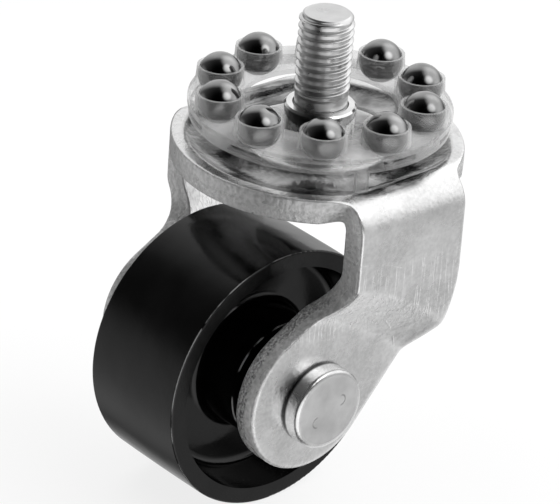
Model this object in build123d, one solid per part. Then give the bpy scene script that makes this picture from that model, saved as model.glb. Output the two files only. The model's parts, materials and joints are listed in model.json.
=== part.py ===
"""Swivel caster with a threaded stem, an open ball race and one 50 mm wheel.

Frame: millimetres. The origin is the centre of the shoulder that the stem is screwed in against,
which is the top face of the bush. +Z runs up the stem, +X is the way the caster travels, so the
wheel trails behind at -X, and the axle lies along Y.

The fork is one pressed steel sheet: a round crown with a rolled ball groove, two legs bent down
from it, and a flat round pad pressed inward in each leg, where the riveted axle passes.
"""

import math
import os

from build123d import *

# Stem, bush and their seat under the crown
stem_diameter = 10.0
stem_length = 17.5
stem_chamfer = 1.0
stem_dimple_diameter = 2.4
stem_dimple_depth = 0.5
undercut_diameter = 8.6
undercut_length = 1.4
bush_diameter = 13.0
bush_chamfer = 0.35
bush_bore_clearance = 0.08
bolt_head_across_flats = 17.0
bolt_head_height = 6.4
bolt_head_chamfer = 0.9
seat_washer_diameter = 22.0
seat_washer_thickness = 1.6

# Fork sheet
steel = 4.6
crown_diameter = 52.8
crown_depth = 6.5
leg_width = 24.6
leg_face_span = 53.4
bend_outer_radius = 6.5
plan_corner_radius = 3.0
edge_corner_radius = 2.2
groove_width = 9.8
groove_depth = 1.6

# Legs: knees, pad and axle place
trail = 15.3
axle_depth = 46.4
pad_face_span = 43.0
pad_radius = 14.0
pad_offset_x = -1.0
pad_offset_z = 1.1
pad_press_start = 15.0
pad_press_run = 7.7
pad_press_back = 40.0
pad_press_lean = 25.0
pad_press_round = 2.5
front_knee_depth = 27.0
front_knee_radius = 5.0
rear_knee_depth = 33.0
rear_knee_radius = 24.0

# Ball ring
ball_count = 10
ball_diameter = 7.94
ball_circle_diameter = 38.0
ball_height = 1.8
ball_phase = 14.0
pocket_clearance = 0.1
cup_rim_height = 1.65
cup_rim_radius = 4.25
cup_base_radius = 4.55
flange_inner_radius = 14.0
flange_outer_radius = 23.8
flange_top = 1.6
flange_thickness = 1.0
skirt_thickness = 1.1
skirt_depth = 2.0
skirt_inset = 0.3
window_width = 7.2
window_height = 1.3
foot_width = 2.4
foot_count = 3
foot_phase = 8.0

# Wheel, axle and washers
wheel_diameter = 50.0
wheel_width = 22.8
tread_crown = 0.1
tread_corner_radius = 0.4
rim_wall = 3.2
rim_taper = 0.9
web_thickness = 5.0
web_round = 1.5
boss_diameter = 23.0
boss_width = 24.0
hub_diameter = 17.0
sleeve_diameter = 10.4
rivet_diameter = 8.0
rivet_head_diameter = 15.4
rivet_head_height = 3.5
rivet_head_round = 1.5
thrust_washer_diameter = 18.0
thrust_washer_thickness = 1.0

# Clearances
running_clearance = 0.06
face_clearance = 0.3
axle_hole_clearance = 0.05

crown_top = -crown_depth
crown_under = crown_top - steel
axle = Vector(-trail, 0, -axle_depth)
pad_inner_span = pad_face_span - 2 * steel
leg_inner_span = leg_face_span - 2 * steel
leg_start = crown_top - bend_outer_radius - 1.0
wide = 2 * leg_face_span
ball_circle = ball_circle_diameter / 2
seat_washer_top = crown_under - face_clearance
groove_radius = (groove_width**2 / 4 + groove_depth**2) / (2 * groove_depth)


def turned(points, origin=(0, 0, 0), axis="Z"):
    """Solid of revolution from (radius, height) points about an axis along Z or Y."""
    if axis == "Z":
        plane = Plane(origin=origin, x_dir=(1, 0, 0), z_dir=(0, -1, 0))
    else:
        plane = Plane(origin=origin, x_dir=(1, 0, 0), z_dir=(0, 0, 1))
    outline = plane * make_face(Polyline(*points, close=True))
    return revolve(outline, Axis(origin, tuple(plane.y_dir)))


def ring(outer, inner, low, high, origin=(0, 0, 0), axis="Z"):
    """Plain ring between two radii and two heights."""
    return turned([(inner, low), (outer, low), (outer, high), (inner, high)], origin, axis)


def u_profile(span, top, radius, foot):
    """Open path of a U-shaped section in the YZ plane, with two rounded corners."""
    half = span / 2
    return FilletPolyline((-half, foot), (-half, top), (half, top), (half, foot), radius=radius)


def bent_sheet():
    """Crown, bends and the tops of the legs as one folded sheet of even thickness."""
    outer = u_profile(leg_face_span, crown_top, bend_outer_radius, leg_start)
    inner = u_profile(leg_inner_span, crown_under, bend_outer_radius - steel, leg_start)
    section = make_face(outer + inner + Line(outer @ 0, inner @ 0) + Line(outer @ 1, inner @ 1))
    return extrude(Plane.YZ * section, crown_diameter, both=True)


def crown_plan():
    """Seen from above: the round crown with the legs' strip across it."""
    plan = Circle(crown_diameter / 2) + Rectangle(leg_width, wide)
    corners = plan.vertices().filter_by(
        lambda v: abs(math.hypot(v.X, v.Y) - crown_diameter / 2) < 0.01
    )
    return fillet(corners, plan_corner_radius)


def edge_plan():
    """Seen from the side: the crown's full width narrowing to the legs under its sheet."""
    half = wide / 2
    plan = Pos(0, crown_under + half) * Rectangle(wide, wide)
    plan += Pos(0, crown_under - half) * Rectangle(leg_width, wide)
    corners = plan.vertices().filter_by(
        lambda v: abs(abs(v.X) - leg_width / 2) < 0.01 and abs(v.Y - crown_under) < 0.01
    )
    return fillet(corners, edge_corner_radius)


def tangent_point(start, centre, radius, side):
    """Point where a line from start touches a circle, on one side of it."""
    away = Vector(*start) - Vector(*centre)
    turn = side * math.acos(radius / away.length)
    angle = math.atan2(away.Y, away.X) + turn
    return (centre[0] + radius * math.cos(angle), centre[1] + radius * math.sin(angle))


def leg_outline():
    """Side view of a leg in the XZ plane: straight strip, two knees and a round pad."""
    half = leg_width / 2
    centre = (-trail + pad_offset_x, -axle_depth + pad_offset_z)
    front = (-half, -front_knee_depth)
    rear = (half, -rear_knee_depth)
    front_touch = tangent_point(front, centre, pad_radius, 1)
    rear_touch = tangent_point(rear, centre, pad_radius, -1)
    low_angle = math.radians(255)
    low = (centre[0] + pad_radius * math.cos(low_angle), centre[1] + pad_radius * math.sin(low_angle))
    outline = make_face(
        Polyline(front_touch, front, (-half, leg_start), (half, leg_start), rear, rear_touch)
        + ThreePointArc(rear_touch, low, front_touch)
    )
    for knee, radius in ((front, front_knee_radius), (rear, rear_knee_radius)):
        corner = outline.vertices().sort_by_distance((knee[0], knee[1], 0))[0]
        outline = fillet(corner, radius)
    return outline


def pressed_plate():
    """Leg plate with its pad pressed inward: a wide cone between two flats, its axis set back beyond the pad."""
    rise = (leg_face_span - pad_face_span) / 2
    shift = steel * math.tan(math.atan2(rise, pad_press_run) / 2)
    lean = math.radians(pad_press_lean)
    press_radius = pad_press_back + pad_press_start
    reach = press_radius + axle_depth
    pad_face = pad_face_span / 2
    leg_face = leg_face_span / 2
    press_end = press_radius + pad_press_run
    outer = FilletPolyline(
        (0, pad_face), (press_radius, pad_face), (press_end, leg_face), (reach, leg_face),
        radius=pad_press_round,
    )
    inner = FilletPolyline(
        (0, pad_face - steel), (press_radius + shift, pad_face - steel),
        (press_end + shift, leg_face - steel), (reach, leg_face - steel),
        radius=pad_press_round,
    )
    section = make_face(outer + inner + Line(outer @ 0, inner @ 0) + Line(outer @ 1, inner @ 1))
    middle = axle - Vector(math.sin(lean), 0, math.cos(lean)) * pad_press_back
    plane = Plane(origin=middle, x_dir=(1, 0, 0), z_dir=(0, 0, 1))
    return revolve(plane * section, Axis(middle, (0, 1, 0)))


def groove_height(radius):
    """Height of the crown's upper face, groove included, at a distance from the swivel axis."""
    away = min(abs(radius - ball_circle), groove_width / 2)
    return crown_top - groove_depth + groove_radius - math.sqrt(groove_radius**2 - away**2)


def groove_section(centre_z, radius):
    """Round section of the groove in the XZ plane, to be turned about the swivel axis."""
    plane = Plane(origin=(ball_circle, 0, centre_z), x_dir=(1, 0, 0), z_dir=(0, -1, 0))
    return plane * Circle(radius)


def fork():
    """The whole pressed fork."""
    crown = bent_sheet() & extrude(crown_plan(), wide, both=True)
    crown &= extrude(Plane.XZ * edge_plan(), wide, both=True)
    plate = pressed_plate() & extrude(Plane.XZ * leg_outline(), leg_face_span, both=True)
    body = crown + plate + mirror(plate, Plane.XZ)
    centre_z = crown_top - groove_depth + groove_radius
    bulge = revolve(groove_section(centre_z, groove_radius + steel), Axis.Z)
    bulge &= ring(crown_diameter / 2 - steel, ball_circle / 2, crown_under - steel, crown_under + steel / 2)
    body += bulge
    body -= revolve(groove_section(centre_z, groove_radius), Axis.Z)
    body -= Pos(0, 0, crown_under) * Cylinder(bush_diameter / 2 + running_clearance, 4 * steel)
    body -= Pos(*axle) * Rot(90, 0, 0) * Cylinder(rivet_diameter / 2 + axle_hole_clearance, wide)
    return body


def stem_bolt():
    """Bolt whose threaded end is the stem and whose hex head sits under the crown."""
    tip = stem_diameter / 2 - stem_chamfer
    head_top = seat_washer_top - seat_washer_thickness
    shank = turned([
        (0, head_top), (stem_diameter / 2, head_top), (stem_diameter / 2, -undercut_length),
        (undercut_diameter / 2, -undercut_length), (undercut_diameter / 2, 0),
        (stem_diameter / 2, 0), (stem_diameter / 2, stem_length - stem_chamfer),
        (tip, stem_length), (stem_dimple_diameter / 2, stem_length),
        (0, stem_length - stem_dimple_depth),
    ])
    head = extrude(RegularPolygon(bolt_head_across_flats / 2, 6, major_radius=False), -bolt_head_height)
    corner = bolt_head_across_flats / math.sqrt(3)
    face = corner - bolt_head_chamfer * math.sqrt(3)
    cap = turned([
        (0, -bolt_head_height), (face, -bolt_head_height),
        (corner, bolt_head_chamfer - bolt_head_height), (corner, 0), (0, 0),
    ])
    return shank + Pos(0, 0, head_top) * (head & cap)


def stem_bush():
    """Turned bush that the crown swivels on, with a chamfered top."""
    outer = bush_diameter / 2
    inner = stem_diameter / 2 + bush_bore_clearance
    return turned([
        (inner, seat_washer_top), (outer, seat_washer_top), (outer, -bush_chamfer),
        (outer - bush_chamfer, 0), (inner, 0),
    ])


def seat_washer():
    """Washer on the bolt head that carries the crown from below."""
    inner = stem_diameter / 2 + bush_bore_clearance
    return ring(seat_washer_diameter / 2, inner, seat_washer_top - seat_washer_thickness, seat_washer_top)


def ball_places():
    """Centre and azimuth of each ball round the swivel axis."""
    for i in range(ball_count):
        azimuth = ball_phase + i * 360 / ball_count
        turn = math.radians(azimuth)
        yield azimuth, (ball_circle * math.cos(turn), ball_circle * math.sin(turn), ball_height)


def ball_cage():
    """Moulded ring: a flange with a cup round each ball, and a short slotted skirt on feet."""
    flange_low = ball_height - flange_top - flange_thickness
    skirt_outer = flange_outer_radius - skirt_inset
    skirt_inner = skirt_outer - skirt_thickness
    skirt_low = flange_low - skirt_depth
    foot_low = groove_height(skirt_outer) + face_clearance
    body = ring(flange_outer_radius, flange_inner_radius, flange_low, ball_height - flange_top)
    body += ring(skirt_outer, skirt_inner, skirt_low, flange_low)
    for azimuth, place in ball_places():
        cup = turned([
            (0, flange_low - ball_height), (cup_base_radius, flange_low - ball_height),
            (cup_rim_radius, cup_rim_height), (0, cup_rim_height),
        ])
        body += Pos(*place) * cup
    post = ring(skirt_outer, skirt_inner, foot_low, flange_low)
    for i in range(foot_count):
        foot = Pos(skirt_outer, 0, 0) * Box(2 * skirt_thickness + 2, foot_width, 40)
        body += post & (Rot(0, 0, foot_phase + i * 360 / foot_count) * foot)
    for azimuth, place in ball_places():
        body -= Pos(*place) * Sphere(ball_diameter / 2 + pocket_clearance)
        window = Pos(skirt_outer, 0, flange_low - window_height / 2) * Box(
            2 * skirt_thickness + 1, window_width, window_height
        )
        body -= Rot(0, 0, azimuth) * window
    return body


def wheel():
    """Moulded wheel: crowned tread, deep recess each side, web, boss and stepped hub."""
    radius = wheel_diameter / 2
    half = wheel_width / 2
    rim_inner = radius - rim_wall
    web = web_thickness / 2
    hub_half = pad_inner_span / 2 - thrust_washer_thickness - face_clearance
    bore = sleeve_diameter / 2 + running_clearance
    shoulder = radius - tread_crown
    side = [
        (hub_diameter / 2, hub_half), (hub_diameter / 2, boss_width / 2),
        (boss_diameter / 2, boss_width / 2), (boss_diameter / 2 + rim_taper / 2, web),
        (rim_inner - rim_taper, web), (rim_inner, half),
        (shoulder, half),
    ]
    plane = Plane(origin=axle, x_dir=(1, 0, 0), z_dir=(0, 0, 1))
    tread = ThreePointArc((shoulder, half), (radius, 0), (shoulder, -half))
    near = Polyline((bore, -hub_half), (bore, hub_half), *side)
    far = Polyline((bore, -hub_half), *[(r, -y) for r, y in side])
    section = make_face(near + tread + far)
    corners = section.vertices().filter_by(lambda v: abs(v.X - shoulder) < 0.01)
    section = fillet(corners, tread_corner_radius)
    inside = section.vertices().filter_by(
        lambda v: abs(abs(v.Y) - web) < 0.01 and v.X > boss_diameter / 2
    )
    section = fillet(inside, web_round)
    return revolve(plane * section, Axis(axle, (0, 1, 0)))


def axle_sleeve():
    """Tube between the legs that the wheel turns on."""
    half = pad_inner_span / 2
    inner = rivet_diameter / 2 + axle_hole_clearance
    return ring(sleeve_diameter / 2, inner, -half, half, axle, "Y")


def axle_rivet():
    """Riveted axle pin with a flat round-edged head outside each leg."""
    shank = rivet_diameter / 2
    head = rivet_head_diameter / 2
    face = pad_face_span / 2
    top = face + rivet_head_height
    half_outline = [(shank, face), (head, face), (head, top), (0, top)]
    profile = Polyline((0, -top), *[(r, -y) for r, y in reversed(half_outline[:3])], *half_outline, (0, -top))
    section = make_face(profile)
    corners = section.vertices().filter_by(lambda v: abs(v.X - head) < 0.01 and abs(abs(v.Y) - top) < 0.01)
    section = fillet(corners, rivet_head_round)
    plane = Plane(origin=axle, x_dir=(1, 0, 0), z_dir=(0, 0, 1))
    return revolve(plane * section, Axis(axle, (0, 1, 0)))


def thrust_washer(side):
    """Washer between the hub's end and one leg, on the sleeve."""
    outer_face = pad_inner_span / 2 - face_clearance / 2
    low, high = sorted((side * outer_face, side * (outer_face - thrust_washer_thickness)))
    inner = sleeve_diameter / 2 + running_clearance
    return ring(thrust_washer_diameter / 2, inner, low, high, axle, "Y")


def main():
    os.makedirs("parts", exist_ok=True)
    nodes = {
        "fork": fork(),
        "stem_bolt": stem_bolt(),
        "stem_bush": stem_bush(),
        "seat_washer": seat_washer(),
        "ball_cage": ball_cage(),
        "wheel": wheel(),
        "axle_sleeve": axle_sleeve(),
        "axle_rivet": axle_rivet(),
        "thrust_washer_left": thrust_washer(1),
        "thrust_washer_right": thrust_washer(-1),
    }
    for i, (azimuth, place) in enumerate(ball_places(), start=1):
        nodes[f"ball_{i:02d}"] = Pos(*place) * Sphere(ball_diameter / 2)
    for name, shape in nodes.items():
        export_step(shape, f"parts/{name}.step")


main()
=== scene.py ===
"""Swivel caster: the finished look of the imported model, with camera, light and floor."""

import json
import math

import bmesh
import bpy
import numpy as np
from mathutils import Matrix, Vector

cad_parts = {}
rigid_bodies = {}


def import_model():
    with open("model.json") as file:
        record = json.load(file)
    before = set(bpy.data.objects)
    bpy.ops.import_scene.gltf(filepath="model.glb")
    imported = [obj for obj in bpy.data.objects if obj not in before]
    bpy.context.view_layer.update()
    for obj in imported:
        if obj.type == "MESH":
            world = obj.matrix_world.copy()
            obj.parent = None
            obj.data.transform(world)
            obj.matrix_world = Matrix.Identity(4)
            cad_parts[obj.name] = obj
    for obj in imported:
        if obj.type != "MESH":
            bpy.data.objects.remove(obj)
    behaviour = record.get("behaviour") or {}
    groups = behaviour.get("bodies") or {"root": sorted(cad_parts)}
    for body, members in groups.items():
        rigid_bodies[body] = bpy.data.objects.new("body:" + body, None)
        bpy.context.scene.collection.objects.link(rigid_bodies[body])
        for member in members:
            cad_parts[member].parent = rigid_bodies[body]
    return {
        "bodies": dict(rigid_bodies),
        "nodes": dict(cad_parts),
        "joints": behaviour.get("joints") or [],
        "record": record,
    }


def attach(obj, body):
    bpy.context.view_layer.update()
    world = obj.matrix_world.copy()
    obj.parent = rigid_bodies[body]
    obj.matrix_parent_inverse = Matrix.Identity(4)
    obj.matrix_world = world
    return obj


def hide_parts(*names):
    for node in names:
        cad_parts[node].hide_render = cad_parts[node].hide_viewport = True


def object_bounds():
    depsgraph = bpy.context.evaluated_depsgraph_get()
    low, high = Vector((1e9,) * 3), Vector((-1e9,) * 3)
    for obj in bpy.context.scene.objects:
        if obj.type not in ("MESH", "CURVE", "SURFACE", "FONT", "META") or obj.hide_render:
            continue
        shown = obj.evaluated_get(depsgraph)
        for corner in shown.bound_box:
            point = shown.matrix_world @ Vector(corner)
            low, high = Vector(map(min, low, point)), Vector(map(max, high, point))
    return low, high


MM = 0.001

# Sizes of the caster in millimetres, as in the solid model
AXLE_X = -15.3
AXLE_Z = -46.4
CROWN_TOP = -6.5
STEEL = 4.6
CROWN_RADIUS = 26.4
PLAN_CORNER = 3.0
LEG_HALF_WIDTH = 12.3
BEND_START = 20.2
BEND_RADIUS = 6.5
BEND_FOOT = CROWN_TOP - BEND_RADIUS
GROOVE_CENTRE = 19.0
GROOVE_HALF_WIDTH = 4.9
GROOVE_DEPTH = 1.6
GROOVE_RADIUS = (GROOVE_HALF_WIDTH**2 + GROOVE_DEPTH**2) / (2 * GROOVE_DEPTH)
PAD_INSET = 5.2
PAD_FACE = 21.5
FRONT_KNEE = (-27.0, 5.0)
REAR_KNEE = (-33.0, 24.0)
RIVET_RADIUS = 4.0
RIVET_HEAD_RADIUS = 7.7
RIVET_HEAD_HEIGHT = 3.5
RIVET_EDGE_ROUND = 0.8
PAD_X = -16.3
PAD_Z = -45.3
PAD_RADIUS = 14.0
PRESS_RUN = 7.7
PRESS_BACK = 40.0
PRESS_LEAN = math.radians(25)
PRESS_START = PRESS_BACK + 15.0
PRESS_X = AXLE_X - PRESS_BACK * math.sin(PRESS_LEAN)
PRESS_Z = AXLE_Z - PRESS_BACK * math.cos(PRESS_LEAN)
INNER_SHIFT = STEEL * math.tan(math.atan2(PAD_INSET, PRESS_RUN) / 2)
STEM_RADIUS = 5.0
STEM_TOP = 17.5
NECK_RADIUS = 4.78
SHANK_RADIUS = 4.85
THREAD_PITCH = 1.5
THREAD_DEPTH = 0.62
THREAD_FOOT = 2.4
TIP_CHAMFER = 1.0
HEAD_TOP = -13.0
HEAD_HEIGHT = 6.4
HEAD_FLATS = 17.0

# Surface detail in millimetres: where the leg was drawn, arcs left by the press, marks on the rivet's head
DRAWN_TOP = (-17.0, -21.0)
DRAWN_FOOT = (-37.0, -32.0)
TORN_BELOW = (-24.0, -32.0)
PRESS_ARCS = ((18.8, 0.22), (28.7, 0.20))
HEAD_MARKS = ((-2.6, -1.8, 1), (2.7, 1.2, -1))
HEAD_MARK_RADIUS = 1.0

# Cut edge from face to face: how far each ring lies inside the outline, and how deep in the sheet
EDGE_INSET = (0.95, 0.60, 0.36, 0.18, 0.07, 0.01, 0.0, 0.0, 0.0, 0.02, 0.05, 0.08, 0.14, 0.28, 0.5)
EDGE_DEPTH = (0.0, 0.015, 0.06, 0.15, 0.30, 0.52, 0.85, 1.5, 2.2, 3.0, 3.7, 4.2, 4.5, STEEL, STEEL)

# Camera found from the photograph's outlines
CAMERA_PLACE = (-418.7, -450.4, 287.8)
CAMERA_RIGHT = (0.7594, -0.6472, 0.0668)
CAMERA_DOWN = (-0.2538, -0.3892, -0.8855)
CAMERA_LENS = 244.66

# Studio seen in the metal: right, up and back in the picture, inner and outer angle, brightness
STUDIO = (
    (0.0, 0.0, -1.0, 20, 175, 0.16),
    (0.75, 0.60, 0.10, 10, 54, 1.25),
    (0.60, 0.38, 0.68, 2, 26, 1.5),
    (0.05, 0.82, -0.56, 15, 56, 0.85),
    (0.90, -0.44, -0.10, 12, 50, 0.50),
    (0.25, -0.79, 0.56, 16, 48, 1.3),
    (0.31, -0.46, -0.83, 12, 46, 0.75),
    (-0.93, -0.27, -0.26, 10, 46, 0.55),
)

# Soft lamps: right, up and back in the picture, distance in metres, sides in metres, power
LAMPS = {
    "key": (0.75, 0.66, 0.2, 0.55, (0.3, 0.3), 1.7),
    "left": (-0.8, 0.1, 0.6, 0.6, (0.4, 0.4), 0.7),
    "top": (-0.35, 0.9, 0.3, 0.6, (0.4, 0.3), 1.2),
}
LAMP_AIM = (-0.004, 0.0, -0.025)


# Meshes from grids of points
def rounded(corners, steps=6):
    """Outline through (x, y, radius) corners, each turned into an arc tangent to both its sides."""
    points = []
    count = len(corners)
    for k, (x, y, radius) in enumerate(corners):
        here = np.array([x, y], float)
        if radius <= 0 or k in (0, count - 1):
            points.append(here)
            continue
        before = np.array(corners[k - 1][:2], float) - here
        after = np.array(corners[k + 1][:2], float) - here
        before /= np.linalg.norm(before)
        after /= np.linalg.norm(after)
        half = math.acos(np.clip(before @ after, -1, 1)) / 2
        middle = (before + after) / np.linalg.norm(before + after)
        centre = here + middle * radius / math.sin(half)
        first = here + before * radius / math.tan(half) - centre
        last = here + after * radius / math.tan(half) - centre
        share = np.linspace(0, 1, steps + 1)
        swing = math.pi - 2 * half
        arc = np.outer(np.sin((1 - share) * swing), first) + np.outer(np.sin(share * swing), last)
        points.extend(centre + arc / math.sin(swing))
    return np.array(points)


def turned(outline, axis="z", centre=(0.0, 0.0, 0.0), steps=144):
    """Outline of (radius, height) swept round an axis: radius times cosine and sine, height along it."""
    turn = np.linspace(0, 2 * math.pi, steps + 1)[:, None]
    radius, height = outline[:, 0][None, :], outline[:, 1][None, :]
    across = radius * np.cos(turn)
    aside = radius * np.sin(turn)
    along = np.broadcast_to(height, across.shape)
    order = (across, aside, along) if axis == "z" else (across, along, aside)
    return np.stack(order, -1) + np.array(centre)


def piece(name, grids, body, material, stands_for, marks=None, sharp=40):
    """One object from grids of points in millimetres: four-sided faces between neighbours, seams merged."""
    points, faces, start = [], [], 0
    for grid in grids:
        rows, columns = grid.shape[:2]
        corner = np.arange(rows - 1)[:, None] * columns + np.arange(columns - 1)[None, :] + start
        four = np.stack([corner, corner + 1, corner + columns + 1, corner + columns], -1)
        faces.append(four.reshape(-1, 4))
        points.append(grid.reshape(-1, 3))
        start += rows * columns
    mesh = bpy.data.meshes.new(name)
    mesh.from_pydata((np.concatenate(points) * MM).tolist(), [], np.concatenate(faces).tolist())
    for mark, values in (marks or {}).items():
        layer = mesh.attributes.new(mark, "FLOAT", "POINT")
        layer.data.foreach_set("value", np.concatenate([v.ravel() for v in values]).astype(np.float32))
    shell = bmesh.new()
    shell.from_mesh(mesh)
    bmesh.ops.remove_doubles(shell, verts=shell.verts, dist=2e-6)
    bmesh.ops.dissolve_degenerate(shell, edges=shell.edges, dist=1e-7)
    bmesh.ops.recalc_face_normals(shell, faces=shell.faces)
    shell.to_mesh(mesh)
    shell.free()
    mesh.polygons.foreach_set("use_smooth", np.ones(len(mesh.polygons), bool))
    mesh.set_sharp_from_angle(angle=math.radians(sharp))
    mesh.materials.append(material)
    made = bpy.data.objects.new(name, mesh)
    bpy.context.scene.collection.objects.link(made)
    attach(made, body)
    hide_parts(stands_for)


# Node groups shared by the materials
def effect(name, inputs, outputs):
    """Empty shader node group with named float or vector sockets."""
    group = bpy.data.node_groups.new(name, "ShaderNodeTree")
    for label, kind, value in inputs:
        made = group.interface.new_socket(name=label, in_out="INPUT", socket_type=kind)
        if value is not None:
            made.default_value = value
    for label, kind in outputs:
        group.interface.new_socket(name=label, in_out="OUTPUT", socket_type=kind)
    return group, group.nodes.new("NodeGroupInput"), group.nodes.new("NodeGroupOutput")


def mottle_group():
    """Soft blotches: noise at one scale, spread from zero to one."""
    group, given, out = effect(
        "mottle",
        [("Vector", "NodeSocketVector", None), ("Scale", "NodeSocketFloat", 100.0),
         ("Detail", "NodeSocketFloat", 4.0)],
        [("Value", "NodeSocketFloat")],
    )
    noise = group.nodes.new("ShaderNodeTexNoise")
    spread = group.nodes.new("ShaderNodeMapRange")
    spread.inputs["From Min"].default_value = 0.32
    spread.inputs["From Max"].default_value = 0.68
    join = group.links.new
    join(given.outputs["Vector"], noise.inputs["Vector"])
    join(given.outputs["Scale"], noise.inputs["Scale"])
    join(given.outputs["Detail"], noise.inputs["Detail"])
    join(noise.outputs["Fac"], spread.inputs["Value"])
    join(spread.outputs["Result"], out.inputs["Value"])
    return group


def scratch_group():
    """Thin scratches: bright lines where a stretched noise crosses its middle value."""
    group, given, out = effect(
        "scratches",
        [("Vector", "NodeSocketVector", None), ("Scale", "NodeSocketFloat", 200.0),
         ("Width", "NodeSocketFloat", 0.02)],
        [("Mask", "NodeSocketFloat")],
    )
    noise = group.nodes.new("ShaderNodeTexNoise")
    noise.inputs["Detail"].default_value = 1.0
    centre = group.nodes.new("ShaderNodeMath")
    centre.operation = "SUBTRACT"
    centre.inputs[1].default_value = 0.5
    away = group.nodes.new("ShaderNodeMath")
    away.operation = "ABSOLUTE"
    thin = group.nodes.new("ShaderNodeMapRange")
    thin.inputs["To Min"].default_value = 1.0
    thin.inputs["To Max"].default_value = 0.0
    join = group.links.new
    join(given.outputs["Vector"], noise.inputs["Vector"])
    join(given.outputs["Scale"], noise.inputs["Scale"])
    join(noise.outputs["Fac"], centre.inputs[0])
    join(centre.outputs[0], away.inputs[0])
    join(away.outputs[0], thin.inputs["Value"])
    join(given.outputs["Width"], thin.inputs["From Max"])
    join(thin.outputs["Result"], out.inputs["Mask"])
    return group


class Finish:
    """A material, its surface shader, and short ways to add nodes and join them."""

    def __init__(self, name):
        self.material = bpy.data.materials.new(name)
        self.material.use_nodes = True
        self.tree = self.material.node_tree
        self.shader = self.tree.nodes["Principled BSDF"]
        self.place = self.add("ShaderNodeTexCoord").outputs["Object"]

    def add(self, kind, **values):
        """New node with its input sockets set by name."""
        node = self.tree.nodes.new(kind)
        for label, value in values.items():
            node.inputs[label.replace("_", " ")].default_value = value
        return node

    def join(self, source, target):
        """Links one socket to another."""
        self.tree.links.new(source, target)

    def give(self, source, name):
        """Links a socket to an input of the surface shader."""
        self.join(source, self.shader.inputs[name])

    def mixed(self, share, first, second):
        """Sends two shaders, mixed by a share, to the material's surface."""
        mix = self.add("ShaderNodeMixShader")
        self.join(share, mix.inputs[0])
        self.join(first.outputs[0], mix.inputs[1])
        self.join(second.outputs[0], mix.inputs[2])
        self.join(mix.outputs[0], self.tree.nodes["Material Output"].inputs["Surface"])

    def set(self, **values):
        """Sets constants on the surface shader's own sockets."""
        for label, value in values.items():
            self.shader.inputs[label.replace("_", " ")].default_value = value

    def mapped(self, scale):
        """Object coordinates stretched."""
        node = self.add("ShaderNodeMapping", Scale=scale)
        self.join(self.place, node.inputs["Vector"])
        return node.outputs["Vector"]

    def use(self, group, vector=None, **values):
        """Places a shared effect with its own values."""
        node = self.tree.nodes.new("ShaderNodeGroup")
        node.node_tree = group
        self.join(vector or self.place, node.inputs["Vector"])
        for label, value in values.items():
            node.inputs[label].default_value = value
        return node.outputs[0]

    def maths(self, operation, first, second):
        """One arithmetic node; each side is a socket or a number."""
        node = self.tree.nodes.new("ShaderNodeMath")
        node.operation = operation
        for k, side in enumerate((first, second)):
            if isinstance(side, (int, float)):
                node.inputs[k].default_value = side
            else:
                self.join(side, node.inputs[k])
        return node.outputs[0]

    def blend(self, mask, low, high):
        """Colour between two colours or sockets by a mask."""
        node = self.tree.nodes.new("ShaderNodeMix")
        node.data_type = "RGBA"
        self.join(mask, node.inputs[0])
        for k, side in ((6, low), (7, high)):
            if isinstance(side, tuple):
                node.inputs[k].default_value = (*side, 1.0)
            else:
                self.join(side, node.inputs[k])
        return node.outputs[2]

    def mark(self, name):
        """Value of a mark stored on the mesh."""
        node = self.add("ShaderNodeAttribute")
        node.attribute_name = name
        return node.outputs["Fac"]

    def ramp(self, value, start, end, low=0.0, high=1.0):
        """Smooth change from low to high while a value goes from start to end."""
        node = self.add("ShaderNodeMapRange", From_Min=start, From_Max=end, To_Min=low, To_Max=high)
        node.interpolation_type = "SMOOTHSTEP"
        self.join(value, node.inputs["Value"])
        return node.outputs["Result"]

    def parts(self):
        """The X, Y and Z of a point, in metres."""
        node = self.tree.nodes.new("ShaderNodeSeparateXYZ")
        self.join(self.place, node.inputs[0])
        return node.outputs[0], node.outputs[1], node.outputs[2]

    def reach(self, across, level, aside_x=0.0, aside_z=0.0):
        """Distance from the axle's line, or from a line beside it by so many millimetres."""
        one = self.maths("SUBTRACT", across, (AXLE_X + aside_x) * MM)
        two = self.maths("SUBTRACT", level, (AXLE_Z + aside_z) * MM)
        both = self.maths("ADD", self.maths("MULTIPLY", one, one), self.maths("MULTIPLY", two, two))
        return self.maths("SQRT", both, 0.0)

    def band(self, value, centre, half_width):
        """One in a narrow band of a value, easing to zero at its sides; centre and width in millimetres."""
        away = self.maths("ABSOLUTE", self.maths("SUBTRACT", value, centre * MM), 0.0)
        return self.ramp(away, 0.0, half_width * MM, 1.0, 0.0)

    def bump(self, height, distance, under=None):
        """Normal from a height mask and its size in millimetres, over another normal if given."""
        node = self.add("ShaderNodeBump", Strength=1.0, Distance=distance * MM)
        self.join(height, node.inputs["Height"])
        if under is not None:
            self.join(under, node.inputs["Normal"])
        return node.outputs["Normal"]


def grey(value):
    """Neutral colour of one value."""
    return (value, value, value)


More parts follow.
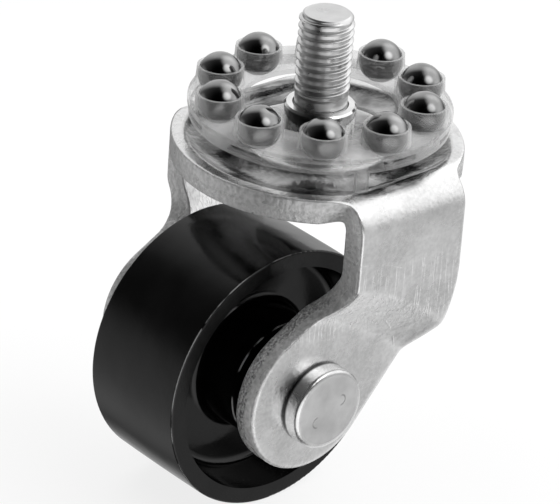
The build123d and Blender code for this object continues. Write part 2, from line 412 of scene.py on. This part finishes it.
def zinc_sheet(effects):
    """Bright zinc plate on pressed sheet: mottled tone, a polished groove with a painted dark reflection,
    drawn leg, lines left by the press and a cut edge that is sheared above and torn below."""
    finish = Finish("zinc_plated_sheet")
    clouds = finish.use(effects["mottle"], Scale=170.0, Detail=5.0)
    fine = finish.use(effects["mottle"], Scale=1300.0, Detail=4.0)
    tone = finish.maths("MULTIPLY", clouds, 0.5)
    tone = finish.maths("ADD", tone, finish.maths("MULTIPLY", fine, 0.5))
    plate = finish.blend(tone, grey(0.64), grey(0.86))
    # The ball groove is polished, with less roughness below, and painted darker as a painted reflection of
    # the dark ring above it.
    polished_groove_and_painted_reflection = finish.mark("polished_groove_and_painted_reflection")
    plate = finish.blend(polished_groove_and_painted_reflection, plate, finish.blend(clouds, grey(0.12), grey(0.44)))
    cut = finish.mark("cut_edge")
    finish.give(finish.ramp(cut, 0.0, 1.0, 1.0, 0.45), "Metallic")
    rough_zone = finish.ramp(finish.mark("cut_depth"), 0.40, 0.52)
    crumble = finish.use(effects["mottle"], Scale=2200.0, Detail=6.0)
    across, _, level = finish.parts()
    low = finish.ramp(level, TORN_BELOW[0] * MM, TORN_BELOW[1] * MM, 0.2, 1.0)
    torn = finish.maths("MULTIPLY", finish.maths("MULTIPLY", rough_zone, cut), low)
    sheared_tone = finish.blend(fine, grey(0.36), grey(0.56))
    torn_tone = finish.blend(crumble, grey(0.10), grey(0.62))
    colour = finish.blend(torn, finish.blend(cut, plate, sheared_tone), torn_tone)
    finish.give(colour, "Base Color")
    rough = finish.ramp(clouds, 0.0, 1.0, 0.22, 0.34)
    rough = finish.maths("SUBTRACT", rough, finish.maths("MULTIPLY", polished_groove_and_painted_reflection, 0.14))
    rough = finish.maths("ADD", rough, finish.maths("MULTIPLY", torn, 0.2))
    finish.give(rough, "Roughness")
    grain = finish.bump(fine, 0.016)
    waves = finish.use(effects["mottle"], Scale=260.0, Detail=3.0)
    soft = finish.bump(waves, 0.05, under=grain)
    below_top = finish.ramp(level, DRAWN_TOP[0] * MM, DRAWN_TOP[1] * MM)
    above_foot = finish.ramp(level, DRAWN_FOOT[0] * MM, DRAWN_FOOT[1] * MM)
    drawn = finish.maths("MULTIPLY", below_top, above_foot)
    streak = finish.use(effects["scratches"], finish.mapped((1.0, 1.0, 0.06)), Scale=1100.0, Width=0.05)
    lined = finish.bump(finish.maths("MULTIPLY", streak, drawn), 0.02, under=soft)
    reach = finish.reach(across, level)
    arcs = [finish.band(reach, radius, half_width) for radius, half_width in PRESS_ARCS]
    press_line = finish.maths("ADD", *arcs)
    patchy = finish.maths("MULTIPLY", press_line, finish.ramp(waves, 0.35, 0.6))
    pressed = finish.bump(patchy, 0.03, under=lined)
    ridges = finish.use(effects["mottle"], finish.mapped((1.0, 1.0, 0.35)), Scale=900.0, Detail=2.0)
    sheared = finish.bump(finish.maths("MULTIPLY", ridges, cut), 0.05, under=pressed)
    ragged = finish.maths("MULTIPLY", crumble, torn)
    finish.give(finish.bump(ragged, 0.2, under=sheared), "Normal")
    return finish.material


def steel(name, effects, tone, roughness, grain=0.004, blotch=0.06):
    """Turned or rolled steel: nearly even tone, faint blotches and fine grain."""
    finish = Finish(name)
    finish.set(Metallic=1.0)
    clouds = finish.use(effects["mottle"], Scale=300.0, Detail=4.0)
    finish.give(finish.blend(clouds, grey(tone - blotch), grey(tone + blotch)), "Base Color")
    rough = finish.add("ShaderNodeMapRange", To_Min=roughness * 0.8, To_Max=roughness * 1.25)
    finish.join(clouds, rough.inputs["Value"])
    finish.give(rough.outputs["Result"], "Roughness")
    fine = finish.use(effects["mottle"], Scale=2400.0, Detail=3.0)
    finish.give(finish.bump(fine, grain), "Normal")
    return finish.material


def rivet_steel(effects):
    """Satin rivet: bright rim, a painted contact shadow where the head meets the sheet, and two small
    curved tool marks with painted shade in them.
    """
    finish = Finish("satin_zinc_rivet")
    clouds = finish.use(effects["mottle"], Scale=260.0, Detail=5.0)
    fine = finish.use(effects["mottle"], Scale=1700.0, Detail=3.0)
    across, aside, level = finish.parts()
    face = finish.blend(clouds, grey(0.60), grey(0.74))
    outward = finish.maths("ABSOLUTE", aside, 0.0)
    # Painted contact shadow: a dark line round the foot of each head where it meets the sheet.
    painted_contact_shadow = finish.ramp(outward, (PAD_FACE + 0.3) * MM, (PAD_FACE + 0.9) * MM, 1.0, 0.0)
    face = finish.blend(painted_contact_shadow, face, grey(0.03))
    reach = finish.reach(across, level)
    rim = finish.ramp(reach, (RIVET_HEAD_RADIUS - 1.1) * MM, (RIVET_HEAD_RADIUS - 0.4) * MM)
    wall = finish.ramp(reach, (RIVET_HEAD_RADIUS - 0.7) * MM, (RIVET_HEAD_RADIUS - 0.1) * MM, 1.0, 0.85)
    finish.give(wall, "Metallic")
    rough = finish.ramp(clouds, 0.0, 1.0, 0.28, 0.36)
    finish.give(finish.maths("SUBTRACT", rough, finish.maths("MULTIPLY", rim, 0.2)), "Roughness")
    grain = finish.bump(fine, 0.012)
    turned_line = finish.bump(finish.band(reach, RIVET_HEAD_RADIUS - 1.0, 0.3), 0.03, under=grain)
    arcs = []
    for x, z, open_side in HEAD_MARKS:
        ring = finish.band(finish.reach(across, level, x, z), HEAD_MARK_RADIUS, 0.28)
        edge = AXLE_X + x
        half = finish.ramp(across, (edge + open_side * 0.3) * MM, (edge - open_side * 0.3) * MM)
        arcs.append(finish.maths("MULTIPLY", ring, half))
    tool_marks_with_painted_shade = finish.maths("ADD", *arcs)
    # Painted shade: the tool marks are coloured darker, as if shaded in their hollows.
    finish.give(finish.blend(tool_marks_with_painted_shade, face, grey(0.34)), "Base Color")
    hollow = finish.maths("MULTIPLY", tool_marks_with_painted_shade, -1.0)
    finish.give(finish.bump(hollow, 0.04, under=turned_line), "Normal")
    return finish.material


def black_plastic(effects):
    """Gloss black moulding: deep black, soft waves, and painted highlights as broken pale lines on the rim
    and the boss.
    """
    finish = Finish("gloss_black_moulding")
    clouds = finish.use(effects["mottle"], Scale=120.0, Detail=4.0)
    across, aside, level = finish.parts()
    reach = finish.reach(across, level)
    width = finish.maths("ABSOLUTE", aside, 0.0)
    # Painted highlights: thin pale lines along the rim's edge and the boss's edge, broken up by noise.
    rim_edge_highlight = finish.maths("MULTIPLY", finish.band(reach, 24.9, 0.2), finish.band(width, 11.3, 0.2))
    boss_edge_highlight = finish.maths("MULTIPLY", finish.band(reach, 11.45, 0.2), finish.band(width, 11.95, 0.3))
    broken = finish.use(effects["mottle"], Scale=300.0, Detail=3.0)
    painted_highlight = finish.maths("MULTIPLY", finish.maths("ADD", rim_edge_highlight, boss_edge_highlight), finish.ramp(broken, 0.3, 0.8))
    black = finish.blend(clouds, grey(0.001), grey(0.003))
    finish.give(finish.blend(painted_highlight, black, grey(0.5)), "Base Color")
    finish.give(finish.ramp(clouds, 0.0, 1.0, 0.12, 0.20), "Roughness")
    finish.set(Specular_IOR_Level=0.32)
    waves = finish.use(effects["mottle"], Scale=80.0, Detail=2.0)
    soft = finish.bump(waves, 0.07)
    specks = finish.use(effects["mottle"], Scale=1800.0, Detail=2.0)
    finish.give(finish.bump(specks, 0.004, under=soft), "Normal")
    return finish.material


def milky_plastic(effects):
    """Natural moulding: a clear share mixed with a soft white one that grows at a glancing angle."""
    finish = Finish("translucent_moulding")
    clouds = finish.use(effects["mottle"], Scale=200.0, Detail=3.0)
    finish.give(finish.blend(clouds, grey(0.60), grey(0.72)), "Base Color")
    finish.set(Roughness=0.22, Specular_IOR_Level=0.5)
    finish.give(finish.bump(clouds, 0.02), "Normal")
    clear = finish.add("ShaderNodeBsdfTransparent", Color=(*grey(0.90), 1.0))
    edge = finish.add("ShaderNodeLayerWeight", Blend=0.4)
    milk = finish.ramp(edge.outputs["Facing"], 0.1, 0.95, 0.12, 0.60)
    finish.mixed(milk, clear, finish.shader)
    return finish.material


def pale_plastic(effects):
    """Natural white bearing plastic of the thrust washers."""
    finish = Finish("pale_bearing_plastic")
    clouds = finish.use(effects["mottle"], Scale=200.0, Detail=3.0)
    finish.give(finish.blend(clouds, grey(0.62), grey(0.72)), "Base Color")
    finish.set(Roughness=0.35)
    return finish.material


# The stem: rolled thread, plain neck, shank in the bush and hexagon head
def thread_grid():
    """Radius against height and turn: crest radius less the thread depth by a rounded wave of
    (height over pitch minus turn), faded out at the neck and cut by the chamfer at the tip."""
    height = np.concatenate([np.linspace(0.0, 1.6, 6), np.linspace(1.65, STEM_TOP, 300)])[None, :]
    turn = np.linspace(0, 2 * math.pi, 129)[:, None]
    phase = (height / THREAD_PITCH - turn / (2 * math.pi)) % 1.0
    away = np.abs(phase - 0.5) * 2
    wave = np.clip((away - 0.06) / 0.50, 0, 1)
    wave = wave * wave * (3 - 2 * wave)
    fade = np.clip((height - THREAD_FOOT) / 1.4, 0, 1)
    neck = NECK_RADIUS + (STEM_RADIUS - NECK_RADIUS) * np.clip((height - THREAD_FOOT + 0.6) / 1.2, 0, 1)
    radius = neck - THREAD_DEPTH * wave * fade
    past_tip = height - (STEM_TOP - TIP_CHAMFER)
    tip = STEM_RADIUS - 0.15 - np.clip(past_tip, 0, 1) ** 2 * 0.75
    radius = np.where(past_tip > 0, np.minimum(radius, tip), radius)
    return np.stack(np.broadcast_arrays(radius * np.cos(turn), radius * np.sin(turn), height), -1)


def tip_grid(rim):
    """Rings from the thread's last ring in to a shallow centre dimple, following the rim's own shape."""
    share = np.array([1.0, 0.97, 0.9, 0.5, 0.27, 0.25, 0.12, 0.0])[None, :, None]
    drop = np.array([0.0, 0.03, 0.05, 0.08, 0.14, 0.15, 0.24, 0.28])
    flat = rim[:, None, :] * np.array([1.0, 1.0, 0.0]) * share
    flat[:, :, 2] = STEM_TOP - drop[None, :]
    return flat


def hexagon_head(top, height, across_flats):
    """Polar hexagon: half the flats over the cosine of the turn from the nearest flat, chamfered below."""
    turn = np.linspace(0, 2 * math.pi, 241)[:, None]
    corner = (across_flats / 2) / np.cos((turn + math.pi / 6) % (math.pi / 3) - math.pi / 6)
    face = across_flats / 2 * 0.98
    low = top - height
    radius = np.concatenate([corner * 0, np.minimum(corner, face), corner, corner, corner * 0], 1)
    rise = (corner - face) * math.tan(math.radians(30))
    flat = np.zeros_like(corner)
    level = np.concatenate([flat + low, flat + low, low + rise, flat + top, flat + top], 1)
    return np.stack([radius * np.cos(turn), radius * np.sin(turn), level], -1)


def make_stem(effects):
    """Threaded bolt in place of the plain one."""
    thread = thread_grid()
    outline = [(NECK_RADIUS, 0.0), (SHANK_RADIUS, -0.05), (SHANK_RADIUS, HEAD_TOP)]
    shank = turned(np.array(outline), steps=128)
    head = hexagon_head(HEAD_TOP, HEAD_HEIGHT, HEAD_FLATS)
    grids = [thread, tip_grid(thread[:, -1, :]), shank, head]
    material = steel("bright_zinc_bolt", effects, 0.66, 0.32)
    piece("threaded_stem", grids, "stem", material, "stem_bolt")


def make_rivet(effects):
    """Riveted axle: a plain shank with a closed flat head at each end, its rim slightly turned over."""
    base = PAD_FACE - 0.1
    top = PAD_FACE + RIVET_HEAD_HEIGHT
    corners = [(0.0, top, 0), (RIVET_HEAD_RADIUS, top, RIVET_EDGE_ROUND), (RIVET_HEAD_RADIUS, base, 0)]
    head = rounded(corners, 12)
    near = np.concatenate([[(0.0, top)], head[1:], [(RIVET_RADIUS, base)], [(RIVET_RADIUS, 0.0)]])
    far = near[::-1] * np.array([1.0, -1.0])
    grid = turned(np.concatenate([near, far[1:]]), "y", (AXLE_X, 0.0, AXLE_Z))
    piece("riveted_axle", [grid], "fork", rivet_steel(effects), "axle_rivet")


# The fork: one sheet, its outline in the flat blank and two faces a sheet's thickness apart
def groove_depth(radius):
    """Depth of the ball groove: an arc below the crown, its lips eased by a smooth maximum."""
    inside = np.sqrt(np.clip(GROOVE_RADIUS**2 - (radius - GROOVE_CENTRE) ** 2, 0, None))
    raw = GROOVE_DEPTH - GROOVE_RADIUS + inside
    raw = np.maximum(raw, -3.0)
    return 0.5 * (raw + np.sqrt(raw * raw + 0.02))


def bulge_depth(radius):
    """Depth of the pressed bulge under the groove, softer than the groove itself."""
    share = np.clip(np.abs(radius - GROOVE_CENTRE) / 6.2, 0, 1)
    return 1.25 * (1 - share * share) ** 2


def pad_inset(distance):
    """Inward set of the leg by distance from the press's axis: a ramp averaged over a short window."""
    window = 1.0

    def area(value):
        ramp = np.clip(value - PRESS_START, 0, PRESS_RUN)
        over = np.clip(value - PRESS_START - PRESS_RUN, 0, None)
        return ramp * ramp / (2 * PRESS_RUN) + over

    share = (area(distance + window) - area(distance - window)) / (2 * window)
    return PAD_INSET * (1 - share)


def sheet_point(across, along, inner):
    """Place of a blank point: across is X, along the bent length from the middle; inner picks the face.
    Crown, then a quarter bend, then the leg, mirrored for the two sides."""
    side = np.sign(along) + (along == 0)
    run = np.abs(along)
    bend_length = BEND_RADIUS * math.pi / 2
    turn = np.clip((run - BEND_START) / BEND_RADIUS, 0, math.pi / 2)
    down = np.clip(run - BEND_START - bend_length, 0, None)
    radius = BEND_RADIUS - inner * STEEL
    flat_y = np.minimum(run, BEND_START)
    aside = flat_y + radius * np.sin(turn)
    level = CROWN_TOP - inner * STEEL - radius * (1 - np.cos(turn)) - down
    level = np.where(down > 0, BEND_FOOT - down, level)
    from_axis = np.hypot(across, flat_y)
    on_crown = np.clip((BEND_START + 1.5 - run) / 3.0, 0, 1)
    pressed = groove_depth(from_axis) * (1 - inner) + bulge_depth(from_axis) * inner
    level = level - pressed * on_crown * on_crown * (3 - 2 * on_crown)
    from_press = np.hypot(across - PRESS_X, level - PRESS_Z)
    inset = pad_inset(from_press - inner * INNER_SHIFT)
    aside = aside - inset * np.clip(down / 3.0, 0, 1)
    return np.stack([across, side * aside, level], -1)


def leg_limits(level):
    """Front and rear X of the leg at each height: straight strip, two knees and the pad's circle."""
    lines = []
    for side, (knee_z, knee_radius) in ((-1, FRONT_KNEE), (1, REAR_KNEE)):
        start = np.array([side * LEG_HALF_WIDTH, knee_z])
        away = start - np.array([PAD_X, PAD_Z])
        span = np.linalg.norm(away)
        swing = math.atan2(away[1], away[0]) - side * math.acos(PAD_RADIUS / span)
        touch = np.array([PAD_X + PAD_RADIUS * math.cos(swing), PAD_Z + PAD_RADIUS * math.sin(swing)])
        corners = [(start[0], -10.0, 0), (start[0], start[1], knee_radius), (touch[0], touch[1], 0)]
        chain = rounded(corners, 24)
        if side < 0:
            arc = np.linspace(swing % (2 * math.pi), 3 * math.pi / 2, 90)
        else:
            arc = np.linspace(swing, -math.pi / 2, 90)
        round_end = np.stack([PAD_X + PAD_RADIUS * np.cos(arc), PAD_Z + PAD_RADIUS * np.sin(arc)], -1)
        chain = np.concatenate([chain, round_end[1:]])
        order = np.argsort(chain[:, 1])
        lines.append(np.interp(level, chain[order, 1], chain[order, 0]))
    return lines


def crown_limit(aside):
    """Half width of the sheet in plan: the crown's circle, a hollow corner, then the leg's strip."""
    corner = PLAN_CORNER
    centre_x = LEG_HALF_WIDTH + corner
    centre_y = math.sqrt((CROWN_RADIUS + corner) ** 2 - centre_x**2)
    touch = centre_y * CROWN_RADIUS / (CROWN_RADIUS + corner)
    disc = np.sqrt(np.clip(CROWN_RADIUS**2 - aside**2, 0, None))
    hollow = centre_x - np.sqrt(np.clip(corner**2 - (np.minimum(aside, centre_y) - centre_y) ** 2, 0, None))
    return np.where(aside < touch, disc, np.where(aside < centre_y, hollow, LEG_HALF_WIDTH))


def fork_outline():
    """Blank outline as two chains of (across, along) points at the same stations, front and rear."""
    bend_length = BEND_RADIUS * math.pi / 2
    leg_top = BEND_START + bend_length
    pad_along = leg_top + (BEND_FOOT - PAD_Z)
    crown = np.linspace(0, BEND_START, 40)
    bend = np.linspace(BEND_START, leg_top, 22)[1:]
    leg = np.linspace(leg_top, pad_along, 52)[1:]
    tip = pad_along + PAD_RADIUS * np.sin(np.linspace(0, math.pi / 2, 30))[1:]
    run = np.concatenate([crown, bend, leg, tip])
    turn = np.clip((run - BEND_START) / BEND_RADIUS, 0, math.pi / 2)
    aside = np.minimum(run, BEND_START) + BEND_RADIUS * np.sin(turn)
    plan = crown_limit(aside)
    level = BEND_FOOT - (run - leg_top)
    front, rear = leg_limits(level)
    front = np.where(run > leg_top, front, -plan)
    rear = np.where(run > leg_top, rear, plan)
    front[-1] = rear[-1] = PAD_X
    along = np.concatenate([-run[::-1], run[1:]])
    front = np.concatenate([front[::-1], front[1:]])
    rear = np.concatenate([rear[::-1], rear[1:]])
    return np.stack([front, along], -1), np.stack([rear, along], -1)


def make_fork(effects):
    """The pressed fork: both faces filled between the two chains, joined by rings down the cut edge."""
    front, rear = fork_outline()
    loop = np.concatenate([front, rear[::-1][1:]])
    step = np.roll(loop[:-1], -1, 0) - np.roll(loop[:-1], 1, 0)
    outward = np.stack([-step[:, 1], step[:, 0]], -1)
    outward /= np.linalg.norm(outward, axis=1)[:, None]
    outward = np.concatenate([outward, outward[:1]])
    middle = loop.mean(0)
    if ((loop - middle) * outward).sum() < 0:
        outward = -outward
    pad_along = BEND_START + BEND_RADIUS * math.pi / 2 + BEND_FOOT - PAD_Z
    wide = (0.7 + 0.8 * np.clip((np.abs(loop[:, 1]) - pad_along + 22) / 14, 0, 1))[:, None]
    rings, cut, depth = [], [], []
    for step_in, drop in zip(EDGE_INSET, EDGE_DEPTH):
        ring = loop - outward * step_in * wide
        share = drop / STEEL
        outer_face = sheet_point(ring[:, 0], ring[:, 1], 0.0)
        inner_face = sheet_point(ring[:, 0], ring[:, 1], 1.0)
        rings.append(outer_face * (1 - share) + inner_face * share)
        cut.append(np.full(len(loop), 1.0 if step_in < 0.3 else 0.0))
        depth.append(np.full(len(loop), share))
    edge = np.stack(rings, 1)
    cut_edge = np.stack(cut, 1)
    cut_depth = np.stack(depth, 1)
    grids, cuts, depths, groove_polish_and_reflection_marks = [edge], [cut_edge], [cut_depth], [cut_edge * 0]
    count = len(front)
    share = np.linspace(0, 1, 101)[None, :, None]
    for ring_inset, inner in ((EDGE_INSET[0], 0.0), (EDGE_INSET[-1], 1.0)):
        ring = loop - outward * ring_inset * wide
        left, right = ring[:count], ring[count - 1:][::-1]
        fill = left[:, None, :] * (1 - share) + right[:, None, :] * share
        grids.append(sheet_point(fill[..., 0], fill[..., 1], inner))
        cuts.append(np.zeros(fill.shape[:2]))
        depths.append(np.full(fill.shape[:2], inner))
        # Mask of the polished ball groove on the outer face, also used for the groove's painted dark
        # reflection.
        off_groove = np.abs(np.hypot(fill[..., 0], fill[..., 1]) - GROOVE_CENTRE) - GROOVE_HALF_WIDTH
        groove_polish_and_reflection_marks.append(np.clip(0.5 - off_groove, 0, 1) * (1 - inner))
    marks = {"cut_edge": cuts, "cut_depth": depths, "polished_groove_and_painted_reflection": groove_polish_and_reflection_marks}
    piece("pressed_fork", grids, "fork", zinc_sheet(effects), "fork", marks, sharp=60)


def make_camera():
    """Camera at the photograph's place, from its own right and down directions."""
    right = Vector(CAMERA_RIGHT).normalized()
    up = -Vector(CAMERA_DOWN).normalized()
    back = right.cross(up)
    data = bpy.data.cameras.new("camera")
    data.lens = CAMERA_LENS
    data.sensor_width = 36.0
    data.clip_start = 0.01
    data.clip_end = 20.0
    camera = bpy.data.objects.new("camera", data)
    turn = Matrix((right, up, back)).transposed().to_4x4()
    camera.matrix_world = Matrix.Translation(Vector(CAMERA_PLACE) * MM) @ turn
    bpy.context.scene.collection.objects.link(camera)
    bpy.context.scene.camera = camera
    return right, up, back


def lamp(name, toward, distance, size, power):
    """Soft lamp for the matt surfaces, in a direction from the object; mirrors see the studio instead."""
    data = bpy.data.lights.new(name, "AREA")
    data.shape = "RECTANGLE"
    data.size, data.size_y = size
    data.energy = power
    made = bpy.data.objects.new(name, data)
    toward = toward.normalized()
    made.location = Vector(LAMP_AIM) + toward * distance
    made.rotation_mode = "QUATERNION"
    made.rotation_quaternion = toward.to_track_quat("Z", "Y")
    made.visible_glossy = False
    bpy.context.scene.collection.objects.link(made)


def make_world(right, up, back):
    """Dim studio with soft bright areas by direction in the picture, and white where the camera looks."""
    world = bpy.data.worlds.new("studio")
    bpy.context.scene.world = world
    world.use_nodes = True
    tree = world.node_tree
    shade = tree.nodes["Background"]
    place = tree.nodes.new("ShaderNodeTexCoord")
    total = None
    for x, y, z, inner, outer, value in STUDIO:
        toward = (right * x + up * y + back * z).normalized()
        facing = tree.nodes.new("ShaderNodeVectorMath")
        facing.operation = "DOT_PRODUCT"
        facing.inputs[1].default_value = toward
        tree.links.new(place.outputs["Generated"], facing.inputs[0])
        area = tree.nodes.new("ShaderNodeMapRange")
        area.interpolation_type = "SMOOTHSTEP"
        area.inputs["From Min"].default_value = math.cos(math.radians(outer))
        area.inputs["From Max"].default_value = math.cos(math.radians(inner))
        area.inputs["To Max"].default_value = value
        tree.links.new(facing.outputs["Value"], area.inputs["Value"])
        if total is None:
            total = area.outputs["Result"]
            continue
        both = tree.nodes.new("ShaderNodeMath")
        tree.links.new(total, both.inputs[0])
        tree.links.new(area.outputs["Result"], both.inputs[1])
        total = both.outputs[0]
    look = tree.nodes.new("ShaderNodeLightPath")
    mix = tree.nodes.new("ShaderNodeMix")
    mix.data_type = "RGBA"
    mix.inputs[7].default_value = (1.0, 1.0, 1.0, 1.0)
    tree.links.new(total, mix.inputs[6])
    tree.links.new(look.outputs["Is Camera Ray"], mix.inputs[0])
    tree.links.new(mix.outputs[2], shade.inputs["Color"])


def make_floor(low):
    """Pale floor under the wheel: mostly its own white to the camera, with the shadow left in."""
    finish = Finish("pale_floor")
    finish.set(Base_Color=(*grey(0.86), 1.0), Roughness=0.9, Specular_IOR_Level=0.0)
    glow = finish.add("ShaderNodeEmission")
    look = finish.add("ShaderNodeLightPath")
    seen = finish.maths("MULTIPLY", look.outputs["Is Camera Ray"], 0.82)
    finish.mixed(seen, finish.shader, glow)
    half = 6.0
    corners = [(-half, -half, low), (half, -half, low), (half, half, low), (-half, half, low)]
    mesh = bpy.data.meshes.new("floor")
    mesh.from_pydata(corners, [], [(0, 1, 2, 3)])
    mesh.materials.append(finish.material)
    floor = bpy.data.objects.new("floor", mesh)
    floor.visible_glossy = False
    bpy.context.scene.collection.objects.link(floor)


def paint(frame, material, *nodes):
    """Gives the named solids' own objects a finish."""
    for node in nodes:
        slots = frame["nodes"][node].data.materials
        slots.clear()
        slots.append(material)


def main():
    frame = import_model()
    solid_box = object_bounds()
    effects = {"mottle": mottle_group(), "scratches": scratch_group()}
    polished = steel("polished_turned_steel", effects, 0.80, 0.09)
    dark_steel = steel("polished_ball_steel", effects, 0.30, 0.12, grain=0.001, blotch=0.05)
    paint(frame, polished, "stem_bush", "seat_washer", "axle_sleeve")
    paint(frame, black_plastic(effects), "wheel")
    paint(frame, milky_plastic(effects), "ball_cage")
    paint(frame, pale_plastic(effects), "thrust_washer_left", "thrust_washer_right")
    paint(frame, dark_steel, *(f"ball_{k:02d}" for k in range(1, 11)))
    make_stem(effects)
    make_fork(effects)
    make_rivet(effects)
    right, up, back = make_camera()
    make_world(right, up, back)
    make_floor(solid_box[0].z)
    for name, (x, y, z, distance, sides, power) in LAMPS.items():
        lamp(name, right * x + up * y + back * z, distance, sides, power)
    bpy.context.scene.view_settings.view_transform = "Standard"


main()
